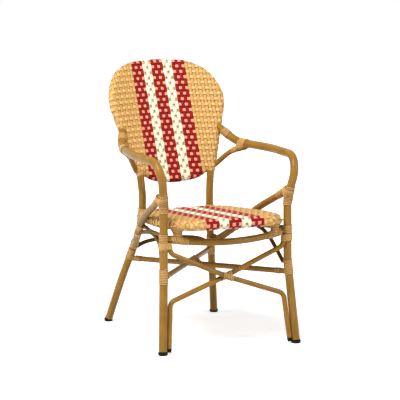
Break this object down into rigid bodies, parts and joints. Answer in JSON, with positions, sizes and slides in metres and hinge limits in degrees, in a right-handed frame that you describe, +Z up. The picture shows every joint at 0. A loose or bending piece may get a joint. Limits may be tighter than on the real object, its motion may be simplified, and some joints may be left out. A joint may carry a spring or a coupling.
{
  "type": "bistro armchair",
  "caption": "Bent-tube bistro armchair with bamboo-look frame, strip-wound joints, crossed front tubes and a woven striped seat and oval back.",
  "frame": {"origin": "on the floor, under the centre of the bounding box seen from above", "axes": "+Z up, the sitter faces -Y, +X to the right for someone who faces the chair; left and right in node names are as that person sees them"},
  "size_m": [0.5066, 0.6674, 0.8703],
  "materials": {
    "bamboo_tube": "satin",
    "wrap": "satin",
    "weave": "satin",
    "rubber": "matt"
  },
  "bodies": {
    "root": {"left_upper_leg_winding": "wrap", "left_middle_leg_winding": "wrap", "left_lower_leg_winding": "wrap", "left_rear_leg_winding": "wrap", "left_arm_root_winding": "wrap", "left_rail_winding": "wrap", "left_stretcher_rear_winding": "wrap", "left_stretcher_front_winding": "wrap", "left_brace_winding": "wrap", "right_upper_leg_winding": "wrap", "right_middle_leg_winding": "wrap", "right_lower_leg_winding": "wrap", "right_rear_leg_winding": "wrap", "right_arm_root_winding": "wrap", "right_rail_winding": "wrap", "right_stretcher_rear_winding": "wrap", "right_stretcher_front_winding": "wrap", "right_brace_winding": "wrap", "left_arm_and_front_leg": "bamboo_tube", "left_rear_leg": "bamboo_tube", "left_cross_tube": "bamboo_tube", "left_stretcher": "bamboo_tube", "left_side_brace": "bamboo_tube", "left_side_arch": "bamboo_tube", "left_seat_bar": "bamboo_tube", "left_arm_fork": "bamboo_tube", "left_seat_neck": "wrap", "right_arm_and_front_leg": "bamboo_tube", "right_rear_leg": "bamboo_tube", "right_cross_tube": "bamboo_tube", "right_stretcher": "bamboo_tube", "right_side_brace": "bamboo_tube", "right_side_arch": "bamboo_tube", "right_seat_bar": "bamboo_tube", "right_arm_fork": "bamboo_tube", "right_seat_neck": "wrap", "backrest_hoop": "bamboo_tube", "backrest_low_rail": "bamboo_tube", "seat_ring": "bamboo_tube", "front_rail": "bamboo_tube", "rear_arch": "bamboo_tube", "cross_tube_binding": "wrap", "stretcher_binding": "wrap", "left_arm_fork_binding": "wrap", "left_side_binding": "wrap", "left_seat_tie": "wrap", "right_arm_fork_binding": "wrap", "right_side_binding": "wrap", "right_seat_tie": "wrap", "backrest_weave": "weave", "seat_weave": "weave", "left_front_foot": "rubber", "left_rear_foot": "rubber", "left_cross_tube_cap": "rubber", "right_front_foot": "rubber", "right_rear_foot": "rubber", "right_cross_tube_cap": "rubber"}
  },
  "joints": []
}
